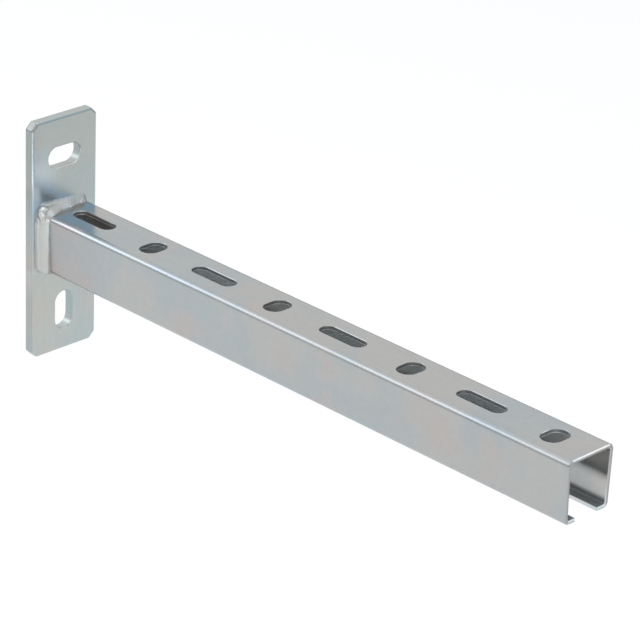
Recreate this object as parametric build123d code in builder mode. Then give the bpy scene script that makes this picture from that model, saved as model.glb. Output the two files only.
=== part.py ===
from build123d import *
import os
from math import hypot, sin

# A cantilever strut arm: a slotted wall plate, a lipped channel that stands out from it with its
# open side down, and the three fillet weld runs that join the two.
# The origin is the centre of the plate's wall face, +X runs out along the arm and +Z is up.
# Left and right are as seen from the free end, looking back at the wall: left is -Y.

# Wall plate, cut from rolled flat bar
plate_width = 53.2
plate_height = 161.3
plate_thickness = 7.5
plate_corner_cut = 4.5
plate_corner_softness = 1.5
plate_edge_radius = 1.8

# Fixing slots in the plate: the upper one lies across, the lower one stands upright, and both widen
# towards the wall, where the punch broke through (the taper is in degrees)
plate_slot_length = 26.0
plate_slot_width = 14.0
upper_slot_height = 53.7
lower_slot_drop = 53.0
plate_slot_edge_break = 0.5
plate_slot_taper = 5.0

# Lipped channel, roll formed from strip
channel_width = 38.0
channel_height = 40.0
channel_wall = 2.5
channel_bend_radius = 3.75
channel_lip_gap = 18.8
channel_toe_in = 1.1
arm_reach = 450.0
web_height = 19.0
cut_end_chamfer = 0.7

# Slots punched through the web, long ones along the arm and short ones across it in turn
slot_count = 8
slot_pitch = 55.25
first_slot_reach = 36.4
long_slot_length = 35.0
long_slot_width = 11.0
cross_slot_length = 18.5
cross_slot_width = 13.6
web_slot_edge_break = 0.35

# Weld run across the top: a round bead sunk below the corner that it fills, with ripples along it
top_weld_leg = 5.0
top_weld_root = 3.0
top_weld_end_inset = 5.0
ripple_pitch = 3.1
ripple_depth = 0.25
ripple_wobble = 0.35
ripple_rhythm = 2.3
start_lump_radius = 3.3
start_lump_rise = 2.8
start_lump_stand_off = 2.5
start_lump_overhang = 1.0
weld_seam_drop = 4.5

# Weld runs down the sides: longer on the arm than on the plate, and a little past the channel's foot
side_weld_arm_leg = 7.3
side_weld_plate_leg = 5.2
side_weld_bulge = 0.3
side_weld_overrun = 1.0
side_weld_end_break = 0.8

half_width = channel_width / 2
foot_half_width = half_width - channel_toe_in
channel_foot = web_height - channel_height
seam_height = web_height - weld_seam_drop

os.makedirs("parts", exist_ok=True)

# Wall plate
with BuildPart() as wall_plate:
    with BuildSketch(Plane.YZ) as plate_outline:
        Rectangle(plate_width, plate_height)
        chamfer(plate_outline.vertices(), plate_corner_cut)
        fillet(plate_outline.vertices(), plate_corner_softness)
    extrude(amount=plate_thickness)
    front_edges = wall_plate.faces().sort_by(Axis.X)[-1].edges()
    back_edges = wall_plate.faces().sort_by(Axis.X)[0].edges()
    fillet(front_edges + back_edges, plate_edge_radius)
    with BuildSketch(Plane.YZ.offset(plate_thickness)):
        with Locations((0, upper_slot_height)):
            SlotOverall(plate_slot_length, plate_slot_width)
        with Locations((0, -lower_slot_drop)):
            SlotOverall(plate_slot_length, plate_slot_width, rotation=90)
    extrude(amount=-plate_thickness, taper=-plate_slot_taper, mode=Mode.SUBTRACT)
    slot_mouths = wall_plate.faces().sort_by(Axis.X)[-1].inner_wires()
    chamfer([edge for mouth in slot_mouths for edge in mouth.edges()], plate_slot_edge_break)
wall_plate.part.label = "wall_plate"
export_step(wall_plate.part, "parts/wall_plate.step")

# Closed outline of the channel, which its section and the weld cuts share
with BuildSketch(Plane.YZ.offset(plate_thickness)) as channel_outline:
    with BuildLine():
        Polyline(
            (-half_width, web_height),
            (half_width, web_height),
            (foot_half_width, channel_foot),
            (-foot_half_width, channel_foot),
            close=True,
        )
    make_face()
    fillet(channel_outline.vertices(), channel_bend_radius)

# Strut channel
arm_length = arm_reach - plate_thickness
slot_reaches = [first_slot_reach + slot_pitch * turn for turn in range(slot_count)]
with BuildPart() as strut_channel:
    with BuildSketch(Plane.YZ.offset(plate_thickness)):
        add(channel_outline.sketch_local)
        offset(amount=-channel_wall, mode=Mode.SUBTRACT)
        with Locations((0, channel_foot)):
            Rectangle(channel_lip_gap, 2 * channel_wall + channel_bend_radius, mode=Mode.SUBTRACT)
    extrude(amount=arm_length)
    chamfer(strut_channel.faces().sort_by(Axis.X)[-1].edges(), cut_end_chamfer)
    with BuildSketch(Plane.XY.offset(web_height)):
        with Locations(*[(reach, 0) for reach in slot_reaches[0::2]]):
            SlotOverall(long_slot_length, long_slot_width)
        with Locations(*[(reach, 0) for reach in slot_reaches[1::2]]):
            SlotOverall(cross_slot_length, cross_slot_width, rotation=90)
    extrude(amount=-2 * channel_wall, mode=Mode.SUBTRACT)
    web_mouths = strut_channel.faces().sort_by(Axis.Z)[-1].inner_wires()
    chamfer([edge for mouth in web_mouths for edge in mouth.edges()], web_slot_edge_break)
strut_channel.part.label = "strut_channel"
export_step(strut_channel.part, "parts/strut_channel.step")

# Top weld run, a ball-ended bead that wraps the channel's two top bends
bead_half_span = half_width - top_weld_end_inset
bead_radius = hypot(top_weld_leg + top_weld_root, top_weld_root)
ripple_count = round(2 * bead_half_span / ripple_pitch)
ripple_spacing = 2 * bead_half_span / ripple_count
root_reach = plate_thickness - top_weld_root
root_height = web_height - top_weld_root
bead_axis = Axis((root_reach, 0, root_height), (0, 1, 0))
room = 2 * (plate_width + plate_height)
with BuildPart() as weld_top:
    with BuildSketch(Plane((root_reach, 0, root_height))):
        with BuildLine():
            left_tip = (0, -bead_half_span - bead_radius)
            right_tip = (0, bead_half_span + bead_radius)
            stations = [ripple_spacing * turn - bead_half_span for turn in range(ripple_count + 1)]
            valleys = [(bead_radius, station) for station in stations]
            RadiusArc(left_tip, valleys[0], -bead_radius)
            for turn in range(ripple_count):
                crest = bead_radius + ripple_depth + ripple_wobble * sin(ripple_rhythm * turn) ** 2
                middle = stations[turn] + ripple_spacing / 2
                ThreePointArc(valleys[turn], (crest, middle), valleys[turn + 1])
            RadiusArc(valleys[-1], right_tip, -bead_radius)
            Line(right_tip, left_tip)
        make_face()
    revolve(axis=bead_axis, revolution_arc=360)
    lump_across = -half_width - start_lump_overhang
    with Locations((plate_thickness + start_lump_stand_off, lump_across, web_height + start_lump_rise)):
        Sphere(start_lump_radius)
    with Locations((plate_thickness, 0, web_height)):
        Box(room, room, room, align=(Align.MAX, Align.CENTER, Align.CENTER), mode=Mode.SUBTRACT)
    with Locations((plate_thickness, 0, seam_height)):
        Box(room, room, room, align=(Align.CENTER, Align.CENTER, Align.MAX), mode=Mode.SUBTRACT)
    extrude(channel_outline.sketch, amount=arm_length, mode=Mode.SUBTRACT)
weld_top.part.label = "weld_top"
export_step(weld_top.part, "parts/weld_top.step")


def side_weld(side):
    """The weld run down one side wall, side -1 or 1: a nearly flat bead that leans in with the wall."""
    wall_at_seam = half_width - channel_toe_in * weld_seam_drop / channel_height
    lean = Vector(0, -side * channel_toe_in, -channel_height)
    run_share = (channel_height - weld_seam_drop + side_weld_overrun) / channel_height
    inside = side * (wall_at_seam - channel_bend_radius)
    plate_toe = Vector(plate_thickness, side * (wall_at_seam + side_weld_plate_leg))
    arm_toe = Vector(plate_thickness + side_weld_arm_leg, side * wall_at_seam)
    outward = Vector(side_weld_plate_leg, side * side_weld_arm_leg).normalized()
    crown = (plate_toe + arm_toe) / 2 + outward * side_weld_bulge
    with BuildPart() as weld:
        with BuildSketch(Plane.XY.offset(seam_height)):
            with BuildLine():
                ThreePointArc(plate_toe, crown, arm_toe)
                Polyline(arm_toe, (arm_toe.X, inside), (plate_thickness, inside), plate_toe)
            make_face()
        extrude(amount=run_share * lean.length, dir=lean)
        foot_edges = weld.faces().sort_by(Axis.Z)[0].edges().sort_by(Axis.X)
        chamfer(foot_edges[1:], side_weld_end_break)
        extrude(channel_outline.sketch, amount=arm_length, mode=Mode.SUBTRACT)
    return weld.part


for name, side in (("weld_left", -1), ("weld_right", 1)):
    run = side_weld(side)
    run.label = name
    export_step(run, f"parts/{name}.step")
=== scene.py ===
"""Cantilever strut arm: zinc-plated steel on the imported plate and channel, and three modelled weld beads.

Laid out as an add-on. Lengths are in metres. The wall is at x = 0, +X runs out along the arm, +Z is up,
and left and right are as seen from the free end, looking back at the wall: left is -Y.
"""

import math

import bpy
from mathutils import Matrix, Vector


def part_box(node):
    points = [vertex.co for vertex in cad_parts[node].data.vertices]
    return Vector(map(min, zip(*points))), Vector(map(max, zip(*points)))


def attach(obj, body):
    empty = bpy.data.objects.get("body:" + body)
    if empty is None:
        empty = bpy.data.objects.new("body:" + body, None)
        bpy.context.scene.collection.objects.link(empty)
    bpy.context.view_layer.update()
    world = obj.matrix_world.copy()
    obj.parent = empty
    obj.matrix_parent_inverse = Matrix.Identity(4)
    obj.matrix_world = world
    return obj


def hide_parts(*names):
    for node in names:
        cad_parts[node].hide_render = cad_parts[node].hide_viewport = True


bl_info = {
    "name": "Cantilever strut arm",
    "version": (1, 0, 0),
    "blender": (4, 5, 0),
    "location": "3D View > Sidebar > Strut arm",
    "description": "Dresses the strut arm: its plated steel, its weld beads and its studio",
    "category": "Object",
}

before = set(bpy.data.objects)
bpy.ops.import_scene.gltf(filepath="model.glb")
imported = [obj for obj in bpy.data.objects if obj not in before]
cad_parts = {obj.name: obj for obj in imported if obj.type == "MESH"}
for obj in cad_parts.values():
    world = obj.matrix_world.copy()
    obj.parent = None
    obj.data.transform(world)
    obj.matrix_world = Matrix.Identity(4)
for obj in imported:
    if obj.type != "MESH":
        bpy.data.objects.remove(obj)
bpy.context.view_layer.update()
PLATE_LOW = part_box("wall_plate")[0]
CHANNEL_LOW, CHANNEL_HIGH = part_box("strut_channel")

MM = 0.001
BODY = "root"

# Faces and edges of the steel that the beads and the finishes keep to
PLATE_FACE = CHANNEL_LOW[0]
WEB_TOP = CHANNEL_HIGH[2]
FOOT = CHANNEL_LOW[2]
FREE_END = CHANNEL_HIGH[0]
HALF_WIDTH = 19.0 * MM
TOE_IN = 1.1 * MM
BEND_RADIUS = 3.75 * MM
BEND_STEPS = 12
SEAM = WEB_TOP - 4.5 * MM

# How far the beads reach into the steel, so that no gap shows
HAIR = 0.05 * MM
# Points nearer than this are one, and faces that meet under this angle, in degrees, shade as one
MERGE = 0.001 * MM
SMOOTH_UNDER = 50.0

# How far the arm-side toe of the top bead stands out from the plate, in millimetres: (across, leg)
TOP_TOE = (
    (-19.0, 8.2),
    (-15.3, 7.9),
    (-10.5, 6.2),
    (-6.6, 4.5),
    (-1.7, 3.8),
    (1.2, 4.6),
    (5.0, 3.2),
    (8.0, 2.2),
    (11.4, 2.8),
    (15.9, 4.3),
    (19.0, 4.6),
)
# How high its plate-side toe climbs above the web, in millimetres: (across, leg)
TOP_CLIMB = (
    (-19.0, 5.3),
    (0.0, 4.7),
    (12.0, 4.0),
    (19.0, 3.4),
)
# Lumps where the run was started, over the left bend, and where it stopped, over the right one, in
# millimetres: (place, half sizes)
START_AND_STOP = (
    ((9.1, -19.5, 20.4), (4.0, 3.6, 4.8)),
    ((9.4, -19.4, 17.8), (4.2, 3.0, 4.8)),
    ((8.0, 17.6, 14.4), (2.6, 2.4, 3.2)),
)
# Small laps of metal round the lump where the run was started, in millimetres: (place, half sizes)
START_LAPS = (
    ((9.8, -21.3, 21.9), (2.0, 1.7, 2.2)),
    ((10.8, -18.4, 22.5), (1.9, 2.6, 1.4)),
    ((11.9, -20.7, 17.6), (1.6, 1.3, 1.6)),
    ((12.9, -18.3, 19.0), (0.9, 1.5, 0.7)),
)

# Painted light and shade on the wall plate, as factors on red, green and blue
PLATE_FOOT_PAINTED_LIGHT = (1.07, 1.10, 1.06)
PLATE_HEAD_PAINTED_SHADE = (0.92, 0.975, 0.955)
PLATE_CORNER_PAINTED_REFLECTION = (1.02, 1.10, 1.22)
PLATE_PAINTED_SHEEN = (1.33, 1.30, 1.24)
PLATE_SIDE_ENDS_PAINTED_SHADE = (0.82, 0.87, 0.89)
PLATE_SIDE_MIDDLE_PAINTED_LIGHT = (1.10, 1.04, 1.03)
PLATE_SLOT_PAINTED_LIGHT = (1.30, 1.28, 1.27)
PLATE_CROWN_PAINTED_SHADE = (0.74, 0.74, 0.76)
PLATE_TOP_PAINTED_LIGHT = (1.12, 1.12, 1.12)
PLATE_PAINTED_LIGHT_BESIDE_WELD = (1.28, 1.27, 1.30)
# Painted light and shade on the channel, outside and inside, besides its overall tone and its duller cut
# ends
CHANNEL_TONE = (0.95, 0.945, 0.935)
CHANNEL_PAINTED_SHADE_BY_PLATE = (0.94, 0.90, 0.89)
CHANNEL_SLOT_PAINTED_SHADE = (0.72, 0.73, 0.74)
CHANNEL_BEND_PAINTED_HIGHLIGHT = (1.00, 1.03, 1.08)
CHANNEL_END_TONE = (0.80, 0.80, 0.79)
INSIDE_PAINTED_LIGHT = (1.96, 1.95, 1.97)
INSIDE_DEEP_PAINTED_LIGHT = (2.30, 2.36, 2.42)
INSIDE_TIP_LOW_PAINTED_LIGHT = (1.90, 1.86, 1.86)
INSIDE_TIP_HIGH_PAINTED_LIGHT = (2.30, 2.23, 2.23)
INSIDE_FOOT_PAINTED_SHADE = (0.75, 0.76, 0.78)
# Painted light and shade on the beads, as the same factors
WELD_STOP_PAINTED_SHADE = (0.80, 0.80, 0.79)
WELD_PAINTED_LIGHT = (1.12, 1.12, 1.12)
WELD_LEDGE_PAINTED_HIGHLIGHT = (1.40, 1.40, 1.44)

# The range that holds most of a noise's values
NOISE_RANGE = (0.3, 0.7)
# Stretch of the rolling lines on each part, and of the scuffs
ALONG_ARM = (0.03, 1.0, 1.0)
UP_PLATE = (1.0, 1.0, 0.03)
SCUFFS_ACROSS = (1.0, 0.35, 1.0)

SCUFF_COLOUR = (0.62, 0.63, 0.63)
SCUFF_STRENGTH = 0.25
SCUFF_ROUGHNESS = 0.08
SLOT_ROUGHNESS = 0.35
BAND_ROUGHNESS = 0.03
# Shares of the rolling lines, the skin and the rolling bands in the steel's relief, and its depth
LINE_RELIEF, SKIN_RELIEF, BAND_RELIEF = 0.3, 0.5, 0.8
STEEL_RELIEF_DEPTH = 0.02 * MM
WELD_RELIEF_DEPTH = 0.015 * MM
WELD_CLOUD_SCALE = 130.0
WELD_SPECKLE_SCALE = 900.0
SPECKLE_ROUGHNESS = (-0.04, 0.06)
START_SMOOTHER = 0.12
# Width of the toned edges of the beads, and how strong they are at the start and the stop of the run
# on the plate, and on the web
TOE_WIDTH = 0.55 * MM
PLATE_TOE_STRENGTH = (0.25, 0.04)
WEB_TOE_STRENGTH = 0.2

# Studio: the camera sees the tent at the backdrop's strength, and the metal mirrors it as it is lit
WHITE = (1.0, 1.0, 1.0)
WINDOW_BLUE = (0.92, 1.40, 1.92)
BACKDROP_STRENGTH = 1.05
FLOOR_SIZE = 40.0
CAMERA_AIM = (0.2, 0.03892, -0.002915)
CAMERA_DISTANCE = 1.9372
SENSOR_WIDTH = 36.0


# ---- Modelling helpers


def mm(*lengths):
    """Millimetres as metres."""
    return tuple(length * MM for length in lengths)


def past(edge, *lengths):
    """Places that lie these many millimetres past an edge."""
    return tuple(edge + length * MM for length in lengths)


def pick(*things):
    """Selects these objects and nothing else, and makes the first one active."""
    if bpy.context.object and bpy.context.object.mode != "OBJECT":
        bpy.ops.object.mode_set(mode="OBJECT")
    bpy.ops.object.select_all(action="DESELECT")
    for thing in things:
        thing.select_set(True)
    bpy.context.view_layer.objects.active = things[0]


def open_mesh(thing):
    """Opens one object's mesh for editing, with all of it selected."""
    pick(thing)
    bpy.ops.object.mode_set(mode="EDIT")
    bpy.ops.mesh.select_all(action="SELECT")


def apply_modifier(thing, kind, **settings):
    """Adds one modifier with these settings and applies it."""
    pick(thing)
    modifier = thing.modifiers.new(kind.lower(), kind)
    for name, value in settings.items():
        setattr(modifier, name, value)
    bpy.ops.object.modifier_apply(modifier=modifier.name)


def model_puddle():
    """One drop of weld metal of unit size, which every puddle of the beads is drawn out from."""
    bpy.ops.mesh.primitive_ico_sphere_add(subdivisions=4, radius=1.0)
    return bpy.context.object


def copy_of(thing):
    """A copy of an object with its own mesh."""
    copy = thing.copy()
    copy.data = thing.data.copy()
    bpy.context.scene.collection.objects.link(copy)
    return copy


def lay_puddle(puddle, centre, radii, turn=(0.0, 0.0, 0.0)):
    """A copy of the puddle at this centre, with these half sizes, turned about X, Y and Z."""
    copy = copy_of(puddle)
    copy.location = centre
    copy.rotation_euler = turn
    copy.scale = radii
    return copy


def fuse(puddles, voxel, smoothing):
    """Melts the puddles into one closed skin."""
    pick(*puddles)
    bpy.ops.object.transform_apply(location=True, rotation=True, scale=True)
    bpy.ops.object.join()
    bead = bpy.context.object
    apply_modifier(bead, "REMESH", mode="VOXEL", voxel_size=voxel)
    apply_modifier(bead, "SMOOTH", factor=0.5, iterations=smoothing)
    return bead


def model_channel_block(inset):
    """The channel's outline as a solid bar, set in by a hair, which is cut away from the beads."""
    reach = PLATE_FACE + 40.0 * MM
    start = PLATE_FACE - 10.0 * MM
    height = WEB_TOP - FOOT - 2 * inset
    toed_in = (HALF_WIDTH - TOE_IN) / HALF_WIDTH
    bpy.ops.mesh.primitive_cube_add(size=1.0)
    block = bpy.context.object
    open_mesh(block)
    bpy.ops.transform.resize(value=(reach - start, 2 * (HALF_WIDTH - inset), height))
    bpy.ops.transform.translate(value=((reach + start) / 2, 0.0, (WEB_TOP + FOOT) / 2))
    bpy.ops.mesh.select_all(action="DESELECT")
    bpy.ops.object.mode_set(mode="OBJECT")
    for vertex in block.data.vertices:
        vertex.select = vertex.co.z < 0.0
    bpy.ops.object.mode_set(mode="EDIT")
    bpy.ops.transform.resize(value=(1.0, toed_in, 1.0), center_override=(0.0, 0.0, 0.0))
    bpy.ops.mesh.select_all(action="DESELECT")
    bpy.ops.object.mode_set(mode="OBJECT")
    for edge in block.data.edges:
        first, last = (block.data.vertices[index].co for index in edge.vertices)
        edge.select = abs(first.x - last.x) > inset
    bpy.ops.object.mode_set(mode="EDIT")
    bpy.ops.mesh.bevel(offset=BEND_RADIUS - inset, segments=BEND_STEPS, profile=0.5)
    bpy.ops.object.mode_set(mode="OBJECT")
    return block


def slice_off(bead, point, outward):
    """Cuts off what lies on the far side of a plane, and closes the cut."""
    open_mesh(bead)
    bpy.ops.mesh.bisect(
        plane_co=point, plane_no=outward, clear_outer=True, use_fill=True, threshold=MERGE
    )
    bpy.ops.object.mode_set(mode="OBJECT")


def finish_piece(piece, material):
    """Cleans the mesh, smooths its shading, and hangs the piece on the body."""
    open_mesh(piece)
    bpy.ops.mesh.remove_doubles(threshold=MERGE)
    bpy.ops.mesh.dissolve_degenerate(threshold=MERGE)
    bpy.ops.mesh.normals_make_consistent(inside=False)
    bpy.ops.object.mode_set(mode="OBJECT")
    piece.data.validate()
    bpy.ops.object.shade_smooth_by_angle(angle=math.radians(SMOOTH_UNDER))
    piece.data.materials.clear()
    piece.data.materials.append(material)
    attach(piece, BODY)


def remove(*things):
    """Deletes helper objects and their meshes."""
    for thing in things:
        mesh = thing.data
        bpy.data.objects.remove(thing)
        bpy.data.meshes.remove(mesh)


def toward(azimuth, elevation):
    """The direction at these angles in degrees: azimuth from +X towards +Y, elevation from the horizon."""
    turn, rise = math.radians(azimuth), math.radians(elevation)
    return Vector((math.cos(turn) * math.cos(rise), math.sin(turn) * math.cos(rise), math.sin(rise)))


def lie_along(along, outward):
    """The turn that points a piece's Y axis along one direction and its X axis outward."""
    out = Vector(outward).normalized()
    run = Vector(along).normalized()
    run = (run - out * run.dot(out)).normalized()
    return Matrix((out, run, out.cross(run))).transposed().to_euler()


def between(table, place):
    """The value at a place, read along a table of (place, value) with straight runs between."""
    if place <= table[0][0]:
        return table[0][1]
    for (start, first), (end, last) in zip(table, table[1:]):
        if place <= end:
            return first + (last - first) * (place - start) / (end - start)
    return table[-1][1]


def top_legs(across):
    """Legs of the top bead at this place along its run, as (arm leg, plate leg)."""
    return between(TOP_TOE, across / MM) * MM, between(TOP_CLIMB, across / MM) * MM


def wall_at(height):
    """How far the channel's side wall stands from the middle at this height."""
    return HALF_WIDTH - TOE_IN * (WEB_TOP - height) / (WEB_TOP - FOOT)


def fillet_radii(arm_leg, plate_leg, root):
    """Half sizes of the round section whose skin meets the arm and the plate at these legs."""
    arm = (arm_leg + root) ** 2
    plate = (plate_leg + root) ** 2
    both = arm * plate - root**4
    return math.sqrt(both / (plate - root**2)), math.sqrt(both / (arm - root**2))


def lens_reach(edge, thick, depth):
    """Half size of a lens, sunk this deep in the plate, whose rim shows this far out on its face."""
    return edge / math.sqrt(1.0 - (depth / thick) ** 2)


# ---- Shader helpers


def new_group(name, inputs, outputs):
    """An empty shader group with these sockets, as (group, its inputs, its outputs)."""
    group = bpy.data.node_groups.new(name, "ShaderNodeTree")
    for label, kind, default in inputs:
        socket = group.interface.new_socket(name=label, in_out="INPUT", socket_type=kind)
        socket.default_value = default
    for label, kind in outputs:
        group.interface.new_socket(name=label, in_out="OUTPUT", socket_type=kind)
    return group, group.nodes.new("NodeGroupInput").outputs, group.nodes.new("NodeGroupOutput").inputs


def join(tree, source, target):
    """Links one socket to another, or sets a plain value."""
    if isinstance(source, bpy.types.NodeSocket):
        tree.links.new(source, target)
    else:
        target.default_value = source


def feed(tree, node, *sources):
    """Links or sets a node's first inputs in order, and gives its outputs."""
    for socket, source in zip(node.inputs, sources):
        join(tree, source, socket)
    return node.outputs


def fill(tree, node, **sources):
    """Links or sets a node's inputs by name, and gives its outputs."""
    for label, source in sources.items():
        join(tree, source, node.inputs[label.replace("_", " ")])
    return node.outputs


def rgba(colour):
    """A plain colour made opaque. A socket stays as it is."""
    return colour if isinstance(colour, bpy.types.NodeSocket) else (*colour[:3], 1.0)


def math_node(tree, operation, first, second=0.0):
    """One step of arithmetic."""
    step = tree.nodes.new("ShaderNodeMath")
    step.operation = operation
    return feed(tree, step, first, second)[0]


def vector_node(tree, operation, first, second, output="Vector"):
    """One step of vector arithmetic."""
    step = tree.nodes.new("ShaderNodeVectorMath")
    step.operation = operation
    return feed(tree, step, first, second)[output]


def noise(tree, vector, scale, detail=2.0, roughness=0.5, output="Fac"):
    """Fractal noise, 0 to 1."""
    texture = tree.nodes.new("ShaderNodeTexNoise")
    return fill(tree, texture, Vector=vector, Scale=scale, Detail=detail, Roughness=roughness)[output]


def remap(tree, value, low, high, new_low=0.0, new_high=1.0, smooth=True):
    """Reads low to high as new_low to new_high."""
    step = tree.nodes.new("ShaderNodeMapRange")
    step.interpolation_type = "SMOOTHSTEP" if smooth else "LINEAR"
    return feed(tree, step, value, low, high, new_low, new_high)[0]


def fade(tree, value, low, high):
    """A mask that is full up to low and gone from high on."""
    return remap(tree, value, low, high, 1.0, 0.0)


def band(tree, value, rise, fall):
    """A mask that rises over the first range and fades over the second."""
    return product(tree, remap(tree, value, *rise), fade(tree, value, *fall))


def mix_colour(tree, share, first, second, blend="MIX"):
    """Mixes two colours."""
    step = tree.nodes.new("ShaderNodeMix")
    step.data_type = "RGBA"
    step.blend_type = blend
    join(tree, share, step.inputs["Factor"])
    colours = [socket for socket in step.inputs if socket.type == "RGBA"]
    join(tree, rgba(first), colours[0])
    join(tree, rgba(second), colours[1])
    return next(socket for socket in step.outputs if socket.type == "RGBA")


def toned(tree, colour, tone, share=1.0):
    """A colour multiplied by a tone, as far as the share says."""
    return mix_colour(tree, share, colour, tone, "MULTIPLY")


def chain(tree, operation, values):
    """The same step of arithmetic, taken from each value to the next."""
    result = values[0]
    for value in values[1:]:
        result = math_node(tree, operation, result, value)
    return result


def product(tree, *masks):
    """Multiplies any number of masks."""
    return chain(tree, "MULTIPLY", masks)


def total(tree, *values):
    """Adds any number of values."""
    return chain(tree, "ADD", values)


def strongest(tree, *values):
    """The highest of any number of values."""
    return chain(tree, "MAXIMUM", values)


def opposite(tree, mask):
    """One less the mask."""
    return math_node(tree, "SUBTRACT", 1.0, mask)


def absolute(tree, value):
    """The value without its sign."""
    return math_node(tree, "ABSOLUTE", value)


def split_axes(tree, vector):
    """The X, Y and Z of a vector."""
    return feed(tree, tree.nodes.new("ShaderNodeSeparateXYZ"), vector)


def place_group(tree, name, **values):
    """Puts a shared group into a tree and sets or links its inputs."""
    step = tree.nodes.new("ShaderNodeGroup")
    step.node_tree = bpy.data.node_groups[name]
    return fill(tree, step, **values)


# ---- Shared effects

PLACE_INPUT = ("Vector", "NodeSocketVector", (0.0, 0.0, 0.0))
GREY = (0.5, 0.5, 0.5, 1.0)
EVEN = (1.0, 1.0, 1.0)


def make_plating_tint():
    """Cloudy cool and warm films of the passivated zinc over its clear grey."""
    tree, given, out = new_group(
        "plating_tint",
        (
            PLACE_INPUT,
            ("Clear", "NodeSocketColor", GREY),
            ("Cool", "NodeSocketColor", GREY),
            ("Warm", "NodeSocketColor", GREY),
            ("Cloud Scale", "NodeSocketFloat", 20.0),
        ),
        (("Color", "NodeSocketColor"),),
    )
    cool_edge, warm_edge = (0.40, 0.62), (0.47, 0.72)
    aside = (0.37, 0.11, 0.23)
    warm_to_cool_scale = 1.35
    mottle_scale, mottle_range = 260.0, (0.975, 1.025)
    place, cloud_scale = given["Vector"], given["Cloud Scale"]
    cool_cloud = remap(tree, noise(tree, place, cloud_scale), *cool_edge)
    shifted = vector_node(tree, "ADD", place, aside)
    warm_scale = math_node(tree, "MULTIPLY", cloud_scale, warm_to_cool_scale)
    warm_cloud = remap(tree, noise(tree, shifted, warm_scale), *warm_edge)
    colour = mix_colour(tree, cool_cloud, given["Clear"], given["Cool"])
    colour = mix_colour(tree, warm_cloud, colour, given["Warm"])
    mottle = noise(tree, place, mottle_scale, detail=4.0, roughness=0.6)
    mottle = remap(tree, mottle, *NOISE_RANGE, *mottle_range, smooth=False)
    join(tree, toned(tree, colour, mottle), out["Color"])


def make_rolling_grain():
    """Fine lines that the rolls leave in the steel, drawn out along the strip."""
    tree, given, out = new_group(
        "rolling_grain",
        (PLACE_INPUT, ("Stretch", "NodeSocketVector", EVEN)),
        (("Lines", "NodeSocketFloat"), ("Bands", "NodeSocketFloat")),
    )
    line_scale, band_scale = 1800.0, 240.0
    drawn = vector_node(tree, "MULTIPLY", given["Vector"], given["Stretch"])
    join(tree, noise(tree, drawn, line_scale, detail=3.0, roughness=0.6), out["Lines"])
    join(tree, noise(tree, drawn, band_scale), out["Bands"])


def make_handling_marks():
    """Sparse hairline scuffs from stacking and handling."""
    tree, given, out = new_group(
        "handling_marks",
        (PLACE_INPUT, ("Stretch", "NodeSocketVector", EVEN)),
        (("Mask", "NodeSocketFloat"),),
    )
    wander_scale, wander_reach = 45.0, (0.02, 0.02, 0.02)
    line_scale, line_width = 60.0, 0.012
    patch_scale, patch_edge = 38.0, (0.56, 0.66)
    place = given["Vector"]
    drawn = vector_node(tree, "MULTIPLY", place, given["Stretch"])
    wander = noise(tree, place, wander_scale, output="Color")
    bent = vector_node(tree, "MULTIPLY", wander, wander_reach)
    cells = tree.nodes.new("ShaderNodeTexVoronoi")
    cells.feature = "DISTANCE_TO_EDGE"
    warped = vector_node(tree, "ADD", drawn, bent)
    off_line = fill(tree, cells, Vector=warped, Scale=line_scale)["Distance"]
    line = fade(tree, off_line, 0.0, line_width)
    patch = remap(tree, noise(tree, place, patch_scale), *patch_edge)
    join(tree, product(tree, line, patch), out["Mask"])


def make_plating_skin():
    """The slightly pebbled skin of the plating, as a height."""
    tree, given, out = new_group("plating_skin", (PLACE_INPUT,), (("Height", "NodeSocketFloat"),))
    fine_scale, fine_share, broad_scale = 2600.0, 0.35, 520.0
    fine = noise(tree, given["Vector"], fine_scale)
    broad = noise(tree, given["Vector"], broad_scale, detail=3.0)
    join(tree, total(tree, product(tree, fine, fine_share), broad), out["Height"])


def make_weld_toes():
    """Masks along the edges of a bead: where it runs out on the channel, and where on the plate."""
    tree, given, out = new_group(
        "weld_toes",
        (PLACE_INPUT, ("Width", "NodeSocketFloat", TOE_WIDTH)),
        (("On Channel", "NodeSocketFloat"), ("On Plate", "NodeSocketFloat")),
    )
    ragged_scale = 500.0
    width = given["Width"]
    x, y, z = split_axes(tree, given["Vector"])
    off_plate = math_node(tree, "SUBTRACT", x, PLATE_FACE)
    off_web = math_node(tree, "SUBTRACT", z, WEB_TOP)
    off_side = math_node(tree, "SUBTRACT", absolute(tree, y), HALF_WIDTH - TOE_IN / 2)
    off_channel = strongest(tree, off_web, off_side)
    ragged = product(tree, noise(tree, given["Vector"], ragged_scale, detail=3.0), width)
    for distance, label in ((off_channel, "On Channel"), (off_plate, "On Plate")):
        height = math_node(tree, "SUBTRACT", distance, ragged)
        join(tree, fade(tree, height, 0.0, width), out[label])


def make_shared_effects():
    """Builds every shared group once."""
    if "plating_tint" in bpy.data.node_groups:
        return
    make_plating_tint()
    make_rolling_grain()
    make_handling_marks()
    make_plating_skin()
    make_weld_toes()


# ---- Finishes


def new_finish(name):
    """A plain metal material, as (material, tree, shader, object coordinates, object normal)."""
    material = bpy.data.materials.new(name)
    material.use_nodes = True
    tree = material.node_tree
    tree.nodes.clear()
    shader = tree.nodes.new("ShaderNodeBsdfPrincipled")
    output = tree.nodes.new("ShaderNodeOutputMaterial")
    tree.links.new(shader.outputs[0], output.inputs["Surface"])
    shader.inputs["Metallic"].default_value = 1.0
    coordinates = tree.nodes.new("ShaderNodeTexCoord").outputs
    return material, tree, shader, coordinates["Object"], coordinates["Normal"]


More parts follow.
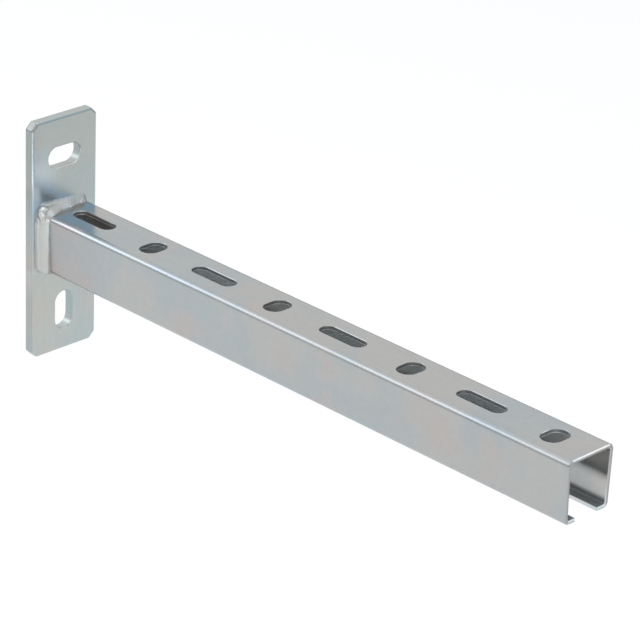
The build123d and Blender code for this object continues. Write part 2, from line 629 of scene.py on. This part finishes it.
def feed_shader(tree, shader, colour, rough, height, depth, strength):
    """Feeds the shader its colour, its roughness and a fine relief."""
    bump = tree.nodes.new("ShaderNodeBump")
    relief = fill(tree, bump, Strength=strength, Distance=depth, Height=height)[0]
    fill(tree, shader, Base_Color=colour, Roughness=rough, Normal=relief)


def plating_tint(tree, place, clear, cool, warm, cloud_scale):
    """Colour of the plating with its films, before painted light and shade and handling tone it."""
    films = {"Clear": rgba(clear), "Cool": rgba(cool), "Warm": rgba(warm)}
    return place_group(tree, "plating_tint", Vector=place, Cloud_Scale=cloud_scale, **films)["Color"]


def plate_tones(tree, place, facing, colour, look):
    """The wall plate's tones, as (colour, added roughness): painted light lower down and painted shade
    upwards, a painted cool reflection and a painted sheen at the upper left.
    """
    _, y, z = split_axes(tree, place)
    outward, sideways, upward = split_axes(tree, facing)
    # Painted light and shade: lighter towards the foot of the plate, darker towards its head
    height = remap(tree, z, *mm(-50.0, 75.0), smooth=False)
    colour = toned(tree, colour, mix_colour(tree, height, PLATE_FOOT_PAINTED_LIGHT, PLATE_HEAD_PAINTED_SHADE))
    # Painted reflection: a cool tint on the face at the upper left, by the plate's edge
    left = fade(tree, y, *mm(-26.0, 4.0))
    painted_cool_reflection = product(tree, left, band(tree, z, mm(16.0, 26.0), mm(52.0, 70.0)))
    face = toned(tree, colour, PLATE_CORNER_PAINTED_REFLECTION, painted_cool_reflection)
    # Painted sheen: a lit band on the face at the left
    painted_sheen = product(tree, left, band(tree, z, mm(26.0, 44.0), mm(44.0, 58.0)))
    face = toned(tree, face, PLATE_PAINTED_SHEEN, painted_sheen)

    # Painted shade on the side faces, with painted light in their middle
    side = remap(tree, absolute(tree, sideways), 0.5, 0.9)
    middle = band(tree, z, mm(-45.0, -10.0), mm(8.0, 45.0))
    edge = toned(tree, colour, mix_colour(tree, middle, PLATE_SIDE_ENDS_PAINTED_SHADE, PLATE_SIDE_MIDDLE_PAINTED_LIGHT))
    face = mix_colour(tree, side, face, edge)

    # Painted light on rounded and slot walls that face partly up, and painted shade on the rounding along
    # the top edge
    slanting = band(tree, upward, (0.08, 0.3), (0.6, 0.9))
    crown = remap(tree, z, *mm(72.0, 75.0))
    face = toned(tree, face, PLATE_SLOT_PAINTED_LIGHT, product(tree, slanting, opposite(tree, crown)))
    face = toned(tree, face, PLATE_CROWN_PAINTED_SHADE, product(tree, slanting, crown))
    # Painted light on the faces that look up
    face = toned(tree, face, PLATE_TOP_PAINTED_LIGHT, remap(tree, upward, 0.8, 0.95))

    # Painted light on the face beside the weld, where the same mask also makes the plate rougher
    beside = remap(tree, absolute(tree, y), *past(HALF_WIDTH, -2.0, 4.0))
    over_foot = remap(tree, z, *past(FOOT, -3.0, 4.0))
    slope = 0.5
    leaning = total(tree, z, product(tree, y, slope))
    heated = product(tree, beside, over_foot, fade(tree, leaning, *past(WEB_TOP, 0.0, 12.0)))
    face = toned(tree, face, PLATE_PAINTED_LIGHT_BESIDE_WELD, product(tree, heated, remap(tree, outward, 0.5, 0.9)))
    cut = remap(tree, absolute(tree, outward), 0.35, 0.97, look.cut_roughness, 0.0)
    return face, strongest(tree, cut, product(tree, heated, look.heated_roughness))


def channel_tones(tree, place, facing, colour, look):
    """The channel's tones, as (colour, added roughness): painted light inside, painted shade by the plate
    and on the slot walls, a painted highlight on the bends, and duller cut ends.
    """
    x, y, z = split_axes(tree, place)
    along, sideways, upward = split_axes(tree, facing)
    across = absolute(tree, y)
    flat_to_arm = absolute(tree, along)
    wall = 2.1 * MM
    inner_wall, inner_web = HALF_WIDTH - TOE_IN - wall, WEB_TOP - wall
    inside = product(
        tree,
        fade(tree, across, *past(inner_wall, 0.0, 0.2)),
        fade(tree, z, *past(inner_web, -0.3, 0.0)),
    )
    colour = toned(tree, colour, CHANNEL_TONE)

    # Painted light inside the channel, stronger away from the plate and towards the tip, and painted shade
    # low down by the lips
    deep = fade(tree, x, *past(PLATE_FACE, 90.0, 150.0))
    glow = mix_colour(tree, deep, INSIDE_PAINTED_LIGHT, INSIDE_DEEP_PAINTED_LIGHT)
    high = remap(tree, z, *mm(-6.0, 12.0))
    painted_tip_glow = mix_colour(tree, high, INSIDE_TIP_LOW_PAINTED_LIGHT, INSIDE_TIP_HIGH_PAINTED_LIGHT)
    tip = remap(tree, x, *past(FREE_END, -70.0, -25.0))
    glow = mix_colour(tree, tip, glow, painted_tip_glow)
    foot = product(
        tree,
        band(tree, z, past(FOOT, 2.0, 2.4), past(FOOT, 4.0, 7.5)),
        fade(tree, flat_to_arm, 0.3, 0.6),
    )
    glow = mix_colour(tree, foot, glow, INSIDE_FOOT_PAINTED_SHADE)
    colour = toned(tree, colour, glow, inside)

    # Painted shade on the walls of the slots in the web
    punched = product(
        tree,
        fade(tree, across, *mm(9.5, 10.0)),
        fade(tree, absolute(tree, upward), 0.3, 0.8),
        opposite(tree, inside),
        fade(tree, x, *past(FREE_END, -3.0, -2.0)),
    )
    colour = toned(tree, colour, CHANNEL_SLOT_PAINTED_SHADE, punched)
    # Painted shade on the side walls near the plate
    painted_shade_by_plate = product(
        tree,
        fade(tree, x, *past(PLATE_FACE, 10.0, 80.0)),
        remap(tree, absolute(tree, sideways), 0.8, 0.95),
    )
    colour = toned(tree, colour, CHANNEL_PAINTED_SHADE_BY_PLATE, painted_shade_by_plate)
    cut_end = toned(tree, colour, CHANNEL_END_TONE)
    # Painted highlight, slightly bluish, on the rolled bends
    bend = remap(tree, absolute(tree, product(tree, sideways, upward)), 0.1, 0.5)
    colour = toned(tree, colour, CHANNEL_BEND_PAINTED_HIGHLIGHT, bend)
    end = remap(tree, flat_to_arm, 0.75, 0.95)
    rough = strongest(
        tree,
        product(tree, inside, look.inside_roughness),
        product(tree, end, look.cut_roughness),
        product(tree, bend, look.bend_roughness),
        product(tree, punched, SLOT_ROUGHNESS),
    )
    return mix_colour(tree, end, colour, cut_end), rough


def plated_steel(name, stretch, roughness, look, tones):
    """Zinc-plated rolled steel, with its rolling lines along one axis."""
    material, tree, shader, place, facing = new_finish(name)
    tint = plating_tint(tree, place, look.clear_grey, look.cool_film, look.warm_film, look.cloud_scale)
    grain = place_group(tree, "rolling_grain", Vector=place, Stretch=stretch)
    marks = place_group(tree, "handling_marks", Vector=place, Stretch=SCUFFS_ACROSS)["Mask"]
    skin = place_group(tree, "plating_skin", Vector=place)["Height"]
    colour, rougher = tones(tree, place, facing, tint, look)
    colour = mix_colour(tree, product(tree, marks, SCUFF_STRENGTH), colour, SCUFF_COLOUR)
    lowest, highest = roughness - BAND_ROUGHNESS, roughness + BAND_ROUGHNESS
    rough = remap(tree, grain["Bands"], *NOISE_RANGE, lowest, highest, smooth=False)
    rough = total(tree, rough, product(tree, marks, SCUFF_ROUGHNESS), rougher)
    relief = total(
        tree,
        product(tree, grain["Lines"], LINE_RELIEF),
        product(tree, skin, SKIN_RELIEF),
        product(tree, grain["Bands"], BAND_RELIEF),
    )
    feed_shader(tree, shader, colour, rough, relief, STEEL_RELIEF_DEPTH, look.relief)
    return material


def plated_weld(name, look):
    """Zinc-plated weld metal, with a dark line along the channel and a faint one along the plate."""
    material, tree, shader, place, facing = new_finish(name)
    tint = plating_tint(tree, place, look.weld_grey, look.weld_cool, look.weld_warm, WELD_CLOUD_SCALE)
    toes = place_group(tree, "weld_toes", Vector=place, Width=TOE_WIDTH)
    skin = place_group(tree, "plating_skin", Vector=place)["Height"]
    _, y, z = split_axes(tree, place)
    outward = split_axes(tree, facing)[0]
    # Painted shade on the top bead towards the stop of the run
    colour = toned(tree, tint, WELD_STOP_PAINTED_SHADE, remap(tree, y, *mm(-4.0, 13.0)))
    # Painted light on the lump at the start and on the side beads; the start mask also makes the lump
    # smoother
    start = product(tree, fade(tree, y, *mm(-16.0, -13.0)), remap(tree, z, *mm(13.0, 16.0)))
    below = fade(tree, z, *past(WEB_TOP, -8.0, -3.0))
    colour = toned(tree, colour, WELD_PAINTED_LIGHT, strongest(tree, start, below))
    # Painted highlight on the top bead's faces that look along the arm, just over the web
    painted_ledge_highlight = product(
        tree,
        remap(tree, outward, 0.84, 1.0),
        remap(tree, z, *past(WEB_TOP, -1.0, 0.0)),
        remap(tree, y, *mm(-14.0, -8.0)),
    )
    colour = toned(tree, colour, WELD_LEDGE_PAINTED_HIGHLIGHT, painted_ledge_highlight)
    toe_on_plate = remap(tree, y, *mm(-6.0, 10.0), *PLATE_TOE_STRENGTH)
    toe_on_channel = remap(tree, z, *past(WEB_TOP, -5.0, 0.0), look.toe_strength, WEB_TOE_STRENGTH)
    for label, strength in (("On Plate", toe_on_plate), ("On Channel", toe_on_channel)):
        colour = mix_colour(tree, product(tree, toes[label], strength), colour, look.toe_colour)
    speckle = noise(tree, place, WELD_SPECKLE_SCALE, detail=3.0)
    lowest, highest = (look.weld_roughness + change for change in SPECKLE_ROUGHNESS)
    rough = remap(tree, speckle, *NOISE_RANGE, lowest, highest, smooth=False)
    rough = math_node(tree, "SUBTRACT", rough, product(tree, start, START_SMOOTHER))
    feed_shader(tree, shader, colour, rough, skin, WELD_RELIEF_DEPTH, look.relief)
    return material


def finish_named(name):
    """The finish of this name, made on first use."""
    made = bpy.data.materials.get(name)
    if made:
        return made
    make_shared_effects()
    look = bpy.context.scene.strut_arm_finish
    if name == "plated_channel":
        return plated_steel(name, ALONG_ARM, look.channel_roughness, look, channel_tones)
    if name == "plated_plate":
        return plated_steel(name, UP_PLATE, look.plate_roughness, look, plate_tones)
    return plated_weld(name, look)


# ---- Settings


def number_setting(name, description, default, low, high, **kind):
    """A number between two limits, with its unit or subtype if it has one."""
    return bpy.props.FloatProperty(
        name=name, description=description, default=default, min=low, max=high, **kind
    )


def length_setting(name, description, default, low=1.0 * MM, high=12.0 * MM, precision=4):
    """A length, in metres."""
    return number_setting(name, description, default, low, high, unit="LENGTH", precision=precision)


def share_setting(name, description, default, low=0.0, high=1.0):
    """A share, such as a roughness."""
    return number_setting(name, description, default, low, high, subtype="FACTOR")


def power_setting(name, description, default):
    """Power of a light, in watts."""
    return number_setting(name, description, default, 0.0, 500.0, unit="POWER")


def count_setting(name, description, default):
    """How many times something is done."""
    return bpy.props.IntProperty(name=name, description=description, default=default, min=0, max=200)


def colour_setting(name, description, default):
    """A colour."""
    return bpy.props.FloatVectorProperty(
        name=name, description=description, default=default, size=3, min=0.0, max=1.0, subtype="COLOR"
    )


class StrutArmWelds(bpy.types.PropertyGroup):
    """Sizes of the weld beads."""

    wash_climb: length_setting("Wash climb", "How high the top bead's thin edge climbs the plate", 7.8 * MM)
    wash_spread: length_setting("Wash spread", "How far the side beads' thin edge spreads out", 5.7 * MM)
    top_root: length_setting("Top root", "How deep the top bead's middle is sunk", 3.0 * MM, high=8.0 * MM)
    puddle_pitch: length_setting("Puddle pitch", "Distance between two puddles", 1.5 * MM, high=8.0 * MM)
    side_arm_leg: length_setting("Side arm leg", "How far the side beads run out along the arm", 7.3 * MM)
    side_plate_leg: length_setting("Side plate leg", "How far the side beads' body spreads out", 3.9 * MM)
    overrun: length_setting("Overrun", "How far the beads pass the channel's foot", 1.0 * MM, 0.0, 5.0 * MM)
    voxel: length_setting(
        "Skin size", "Size of the faces on the bead's skin", 0.28 * MM, 0.1 * MM, 1.0 * MM, precision=5
    )
    body_smoothing: count_setting("Body smoothing", "How many times the body of the weld is smoothed", 50)
    detail_smoothing: count_setting("Detail smoothing", "How many times the detailed weld is smoothed", 9)


class StrutArmFinish(bpy.types.PropertyGroup):
    """Colours and surface of the plating."""

    clear_grey: colour_setting("Clear grey", "Colour of the plating without a film", (0.455, 0.462, 0.455))
    cool_film: colour_setting("Cool film", "Colour of the plating's bluish clouds", (0.415, 0.452, 0.468))
    warm_film: colour_setting("Warm film", "Colour of the plating's pinkish clouds", (0.470, 0.448, 0.440))
    weld_grey: colour_setting("Weld grey", "Colour of the plating on the weld beads", (0.510, 0.515, 0.490))
    weld_cool: colour_setting("Weld cool film", "Colour of the beads' bluish clouds", (0.480, 0.498, 0.492))
    weld_warm: colour_setting("Weld warm film", "Colour of the beads' pinkish clouds", (0.505, 0.492, 0.482))
    toe_colour: colour_setting("Toe colour", "Colour along the edges of the weld beads", (0.20, 0.18, 0.19))
    toe_strength: share_setting("Toe strength", "How strongly the edges of the weld beads are toned", 0.55)
    cloud_scale: number_setting("Cloud scale", "Clouds of the film per metre", 22.0, 1.0, 200.0)
    channel_roughness: share_setting("Channel roughness", "Roughness of the channel outside", 0.21, low=0.05)
    plate_roughness: share_setting("Plate roughness", "Roughness of the plated wall plate", 0.29, low=0.05)
    inside_roughness: share_setting("Inside roughness", "How much rougher the inside is", 0.46, high=0.5)
    bend_roughness: share_setting("Bend roughness", "How much rougher the rolled bends are", 0.15, high=0.5)
    heated_roughness: share_setting("Heated roughness", "How much rougher heated steel is", 0.36, high=0.5)
    cut_roughness: share_setting("Cut roughness", "How much rougher the cut surfaces are", 0.12, high=0.5)
    weld_roughness: share_setting("Weld roughness", "Roughness of the weld beads", 0.44, low=0.05)
    relief: share_setting("Relief", "Strength of the fine relief in the plating", 0.5)


class StrutArmStage(bpy.types.PropertyGroup):
    """The studio round the arm."""

    floor_gap: length_setting("Floor gap", "Depth of the floor below the plate", 0.5, 0.0, 2.0, precision=2)
    floor_colour: colour_setting("Floor colour", "Colour of the floor", (0.95, 0.95, 0.95))
    tent_light: number_setting("Tent light", "Brightness of the white tent all round", 1.0, 0.0, 4.0)
    horizon_light: number_setting("Horizon light", "Brightness of the tent at its horizon", 0.55, 0.0, 4.0)
    key_power: power_setting("Key power", "Power of the large soft light on the left", 11.7)
    edge_power: power_setting("Edge power", "Power of the small cool card that edges the plate", 0.0053)
    start_power: power_setting("Start power", "Power of the small card by the start of the weld", 0.009)
    glint_power: power_setting("Glint power", "Power of the small card of light over the weld", 0.008)
    rim_power: power_setting("Rim power", "Power of the small card that edges the free end", 0.0028)
    top_power: power_setting("Top power", "Power of the light overhead, which whitens the floor", 7.3)
    focal_length: number_setting(
        "Focal length", "Focal length of the camera, in millimetres", 179.75, 20.0, 500.0, unit="CAMERA"
    )


# ---- Operators


class STRUTARM_OT_plate_the_steel(bpy.types.Operator):
    """Plates the wall plate and the channel: rolling lines along each, cloudy films and light scuffs"""

    bl_idname = "strutarm.plate_the_steel"
    bl_label = "Plate the steel"

    def execute(self, context):
        for node, finish in (("wall_plate", "plated_plate"), ("strut_channel", "plated_channel")):
            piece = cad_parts[node]
            piece.data.materials.clear()
            piece.data.materials.append(finish_named(finish))
        return {"FINISHED"}


class STRUTARM_OT_lay_welds(bpy.types.Operator):
    """Lays the weld round the channel, rippled on top and smooth down the sides, and parts its runs"""

    bl_idname = "strutarm.lay_welds"
    bl_label = "Lay the welds"

    def execute(self, context):
        sizes = context.scene.strut_arm_welds
        puddle = model_puddle()
        body = [
            *self.run_over_top(puddle, sizes),
            *self.run_down_side(puddle, sizes, -1),
            *self.run_down_side(puddle, sizes, 1),
            *self.wash_over_top(puddle, sizes),
            *self.wash_beside_wall(puddle, sizes, -1),
            *self.wash_beside_wall(puddle, sizes, 1),
            *self.lay_lumps(puddle, START_AND_STOP),
        ]
        body = fuse(body, sizes.voxel, sizes.body_smoothing)
        detail = [
            *self.freeze_ripples(puddle),
            *self.wet_the_web(puddle),
            *self.lay_lumps(puddle, START_LAPS),
        ]
        ring = fuse([body, *detail], sizes.voxel, sizes.detail_smoothing)
        block = model_channel_block(HAIR)
        apply_modifier(ring, "BOOLEAN", operation="DIFFERENCE", object=block, solver="EXACT")
        slice_off(ring, (PLATE_FACE - HAIR, 0.0, 0.0), (-1.0, 0.0, 0.0))
        for node, cuts in (
            ("weld_top", ((0.0, 0.0, -1.0),)),
            ("weld_left", ((0.0, 0.0, 1.0), (0.0, 1.0, 0.0))),
            ("weld_right", ((0.0, 0.0, 1.0), (0.0, -1.0, 0.0))),
        ):
            run = self.part_run(ring, f"{node}_bead", cuts)
            finish_piece(run, finish_named("plated_weld"))
            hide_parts(node)
        remove(ring, block, puddle)
        return {"FINISHED"}

    def part_run(self, ring, name, cuts):
        """One run of the ring: a copy, cut off along the seams."""
        run = copy_of(ring)
        run.name = name
        run.data.name = name
        for outward in cuts:
            slice_off(run, (0.0, 0.0, SEAM), outward)
        return run

    def run_over_top(self, puddle, sizes):
        """The body of the top bead: long puddles that run into one another."""
        start = -HALF_WIDTH + 2.5 * MM
        stop = HALF_WIDTH - 5.2 * MM
        longest, past_start, short_of_stop = mm(6.5, 3.2, 0.1)
        count = round((stop - start) / sizes.puddle_pitch)
        body = []
        for turn in range(count + 1):
            across = start + (stop - start) * turn / count
            run_out, climb = fillet_radii(*top_legs(across), sizes.top_root)
            length = min(longest, HALF_WIDTH + past_start + across, HALF_WIDTH - short_of_stop - across)
            centre = (PLATE_FACE - sizes.top_root, across, WEB_TOP - sizes.top_root)
            body.append(lay_puddle(puddle, centre, (run_out, length, climb)))
        return body

    def freeze_ripples(self, puddle):
        """Low slanting ripples on the face of the top bead, left as each puddle froze."""
        first, pitch, count = -15.0, 2.6, 12
        half_length, thick = mm(4.4, 0.9)
        slant = 1.5
        # How far a ripple stands out, in millimetres, and how that varies and dies down along the run
        rise, wobble, rhythm, dying = 0.15, 0.06, 1.9, 0.04
        # Where it lies on the face, as shares of the two legs
        out_share, up_share = 0.55, 0.62
        ripples = []
        for turn in range(count):
            across = first * MM + turn * pitch * MM
            arm_leg, plate_leg = top_legs(across)
            outward = Vector((plate_leg, 0.0, arm_leg)).normalized()
            face = Vector((PLATE_FACE + out_share * arm_leg, across, WEB_TOP + up_share * plate_leg))
            stand = (rise + wobble * math.sin(rhythm * turn)) * (1.0 - dying * turn) * MM
            turned = lie_along((-arm_leg, slant * arm_leg, plate_leg), outward)
            radii = (thick, half_length, thick)
            ripples.append(lay_puddle(puddle, face - outward * (thick - stand), radii, turned))
        return ripples

    def wet_the_web(self, puddle):
        """Small drops of metal along the arm-side toe of the top bead."""
        first, pitch, count = 2.0, 2.5, 5
        set_back, lift = mm(0.5, 0.3)
        drops = []
        for turn in range(count):
            across = (first + pitch * turn) * MM
            arm_leg = top_legs(across)[0]
            centre = (PLATE_FACE + arm_leg - set_back, across, WEB_TOP + lift)
            drops.append(lay_puddle(puddle, centre, mm(1.0, 1.7, 0.8)))
        return drops

    def lay_lumps(self, puddle, lumps):
        """Lumps of metal at the places and with the half sizes of a table."""
        return [lay_puddle(puddle, mm(*place), mm(*radii)) for place, radii in lumps]

    def run_down_side(self, puddle, sizes, side):
        """The smooth bead down one side wall, rounded off at both ends."""
        root, lap, longest = mm(3.0, 1.0, 9.0)
        arm_wobble, plate_wobble = mm(0.15, 0.1)
        arm_rhythm, plate_rhythm = 0.7, 0.5
        end = FOOT - sizes.overrun
        start = SEAM + lap
        count = round((start - end) / sizes.puddle_pitch)
        bead = []
        for turn in range(1, count):
            height = end + (start - end) * turn / count
            arm_leg = sizes.side_arm_leg + arm_wobble * math.sin(arm_rhythm * turn + side)
            plate_leg = sizes.side_plate_leg + plate_wobble * math.sin(plate_rhythm * turn)
            run_out, spread = fillet_radii(arm_leg, plate_leg, root)
            length = min(longest, height - end, start - height)
            centre = (PLATE_FACE - root, side * (wall_at(height) - root), height)
            bead.append(lay_puddle(puddle, centre, (run_out, spread, length)))
        return bead

    def wash_over_top(self, puddle, sizes):
        """The thin edge of the weld where it washes out on the plate above the web, lower to the right."""
        depth, thick, half_length = mm(1.1, 2.0, 5.0)
        first, pitch, count = -16.5, 4.4, 8
        fall = 0.07
        wash = []
        for turn in range(count):
            across = first * MM + turn * pitch * MM
            climb = lens_reach(sizes.wash_climb - fall * (across + HALF_WIDTH), thick, depth)
            centre = (PLATE_FACE - depth, across, WEB_TOP)
            wash.append(lay_puddle(puddle, centre, (thick, half_length, climb)))
        return wash

    def wash_beside_wall(self, puddle, sizes, side):
        """The thin edge of the weld where it washes out on the plate beside one side wall."""
        depth, thick, longest, past_foot = mm(1.1, 2.5, 7.0, 0.5)
        first, pitch, count = 4.0, 4.2, 8
        spread = lens_reach(sizes.wash_spread, thick, depth)
        # The wash ends above the web on the left and below it on the right
        below_web = (1.0 + 2.0 * side) * MM
        wash = []
        for turn in range(count):
            height = FOOT + first * MM + turn * pitch * MM
            length = min(longest, height - FOOT + past_foot, WEB_TOP - height - below_web)
            centre = (PLATE_FACE - depth, side * wall_at(height), height)
            wash.append(lay_puddle(puddle, centre, (thick, spread, length)))
        return wash


class STRUTARM_OT_build_stage(bpy.types.Operator):
    """Builds the pale floor, the white tent, the soft lights and the camera"""

    bl_idname = "strutarm.build_stage"
    bl_label = "Build the stage"

    def execute(self, context):
        stage = context.scene.strut_arm_stage
        self.lay_floor(context, stage)
        self.hang_tent(context, stage)
        self.hang_lights(context, stage)
        self.set_camera(context, stage)
        context.scene.view_settings.view_transform = "Standard"
        return {"FINISHED"}

    def lay_floor(self, context, stage):
        """A wide plain floor."""
        level = PLATE_LOW[2] - stage.floor_gap
        bpy.ops.mesh.primitive_plane_add(size=FLOOR_SIZE, location=(0.0, 0.0, level))
        floor = context.object
        floor.name = "studio_floor"
        paint = bpy.data.materials.new("floor_paint")
        paint.use_nodes = True
        shader = paint.node_tree.nodes["Principled BSDF"]
        shader.inputs["Base Color"].default_value = rgba(stage.floor_colour)
        shader.inputs["Roughness"].default_value = 1.0
        shader.inputs["Specular IOR Level"].default_value = 0.0
        floor.data.materials.append(paint)

    def hang_tent(self, context, stage):
        """A white tent that the metal mirrors, dimmer at the horizon, with a cool window on the right."""
        horizon_edge, window_edge = (0.12, 0.38), (0.95, 0.995)
        tent = bpy.data.worlds.new("white_tent")
        context.scene.world = tent
        tent.use_nodes = True
        tree = tent.node_tree
        backdrop = tree.nodes["Background"]
        facing = tree.nodes.new("ShaderNodeTexCoord").outputs["Generated"]
        steepness = absolute(tree, split_axes(tree, facing)[2])
        glow = remap(tree, steepness, *horizon_edge, stage.horizon_light, stage.tent_light)
        window = toward(azimuth=40.5, elevation=23.0)
        nearness = vector_node(tree, "DOT_PRODUCT", facing, window, output="Value")
        tint = mix_colour(tree, remap(tree, nearness, *window_edge), WHITE, WINDOW_BLUE)
        seen = tree.nodes.new("ShaderNodeLightPath").outputs["Is Camera Ray"]
        join(tree, mix_colour(tree, seen, tint, WHITE), backdrop.inputs["Color"])
        strength = remap(tree, seen, 0.0, 1.0, glow, BACKDROP_STRENGTH, smooth=False)
        join(tree, strength, backdrop.inputs["Strength"])

    def hang_lights(self, context, stage):
        """A softbox on the left, shaded cards for the edges and the weld, and a softbox overhead."""
        middle = Vector((0.2, 0.0, 0.0))
        plate_edge = Vector((PLATE_FACE, PLATE_LOW[1], 0.06))
        free_end = Vector((FREE_END, 0.0, WEB_TOP))
        weld_start = Vector((PLATE_FACE, -HALF_WIDTH, WEB_TOP))
        weld_stop = Vector((PLATE_FACE, 0.4 * HALF_WIDTH, WEB_TOP))
        daylight, cool, pale = (0.94, 0.98, 1.03), (0.62, 0.88, 1.05), (0.95, 0.98, 1.02)
        for name, target, azimuth, elevation, distance, width, height, spread, power, colour in (
            ("key_softbox", middle, -141.0, 34.0, 3.2, 1.7, 1.2, 180.0, stage.key_power, daylight),
            ("edge_card", plate_edge, -49.7, -22.9, 0.3, 0.2, 0.06, 30.0, stage.edge_power, cool),
            ("start_card", weld_start, -130.0, 36.0, 0.25, 0.12, 0.12, 70.0, stage.start_power, pale),
            ("glint_card", weld_stop, -20.0, 76.0, 0.3, 0.06, 0.06, 70.0, stage.glint_power, pale),
            ("rim_card", free_end, 57.0, 33.9, 0.25, 0.09, 0.05, 70.0, stage.rim_power, pale),
            ("top_softbox", middle, -45.0, 88.0, 2.5, 2.0, 2.0, 180.0, stage.top_power, WHITE),
        ):
            place = target + toward(azimuth, elevation) * distance
            bpy.ops.object.light_add(type="AREA", location=place)
            lamp = context.object
            lamp.name = name
            lamp.rotation_euler = (place - target).to_track_quat("Z", "Y").to_euler()
            lamp.data.shape = "RECTANGLE"
            lamp.data.size = width
            lamp.data.size_y = height
            lamp.data.spread = math.radians(spread)
            lamp.data.energy = power
            lamp.data.color = colour
            lamp.visible_camera = False

    def set_camera(self, context, stage):
        """The photograph's viewpoint."""
        azimuth, elevation, roll = (math.radians(angle) for angle in (44.38, 25.055, 2.466))
        flat, rise = math.cos(elevation), math.sin(elevation)
        back = Vector((math.sin(azimuth) * flat, -math.cos(azimuth) * flat, rise))
        level = Vector((math.cos(azimuth), math.sin(azimuth), 0.0))
        upward = back.cross(level)
        right = math.cos(roll) * level + math.sin(roll) * upward
        up = math.cos(roll) * upward - math.sin(roll) * level
        place = Vector(CAMERA_AIM) + back * CAMERA_DISTANCE
        bpy.ops.object.camera_add()
        camera = context.object
        camera.name = "photo_camera"
        turn = Matrix((right, up, back)).transposed().to_4x4()
        camera.matrix_world = Matrix.Translation(place) @ turn
        camera.data.sensor_width = SENSOR_WIDTH
        camera.data.lens = stage.focal_length
        camera.data.clip_end = 100.0
        context.scene.camera = camera


class STRUTARM_PT_panel(bpy.types.Panel):
    """Lists the steps that dress the strut arm"""

    bl_idname = "STRUTARM_PT_panel"
    bl_label = "Strut arm"
    bl_space_type = "VIEW_3D"
    bl_region_type = "UI"
    bl_category = "Strut arm"

    def draw(self, context):
        layout = self.layout
        for step in STEPS:
            layout.operator(step.bl_idname)
        for settings in SETTINGS:
            box = layout.box()
            group = getattr(context.scene, settings)
            for name in group.bl_rna.properties.keys():
                if name not in ("rna_type", "name"):
                    box.prop(group, name)


STEPS = (STRUTARM_OT_plate_the_steel, STRUTARM_OT_lay_welds, STRUTARM_OT_build_stage)
SETTINGS = {
    "strut_arm_welds": StrutArmWelds,
    "strut_arm_finish": StrutArmFinish,
    "strut_arm_stage": StrutArmStage,
}


def register():
    """Registers the settings, the steps and the panel."""
    for item in (*SETTINGS.values(), *STEPS, STRUTARM_PT_panel):
        bpy.utils.register_class(item)
    for name, settings in SETTINGS.items():
        setattr(bpy.types.Scene, name, bpy.props.PointerProperty(type=settings))


def unregister():
    """Takes everything back out."""
    for name in SETTINGS:
        delattr(bpy.types.Scene, name)
    for item in (STRUTARM_PT_panel, *reversed(STEPS), *SETTINGS.values()):
        bpy.utils.unregister_class(item)


def main():
    """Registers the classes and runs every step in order."""
    register()
    bpy.ops.strutarm.plate_the_steel()
    bpy.ops.strutarm.lay_welds()
    bpy.ops.strutarm.build_stage()


if __name__ == "__main__":
    main()
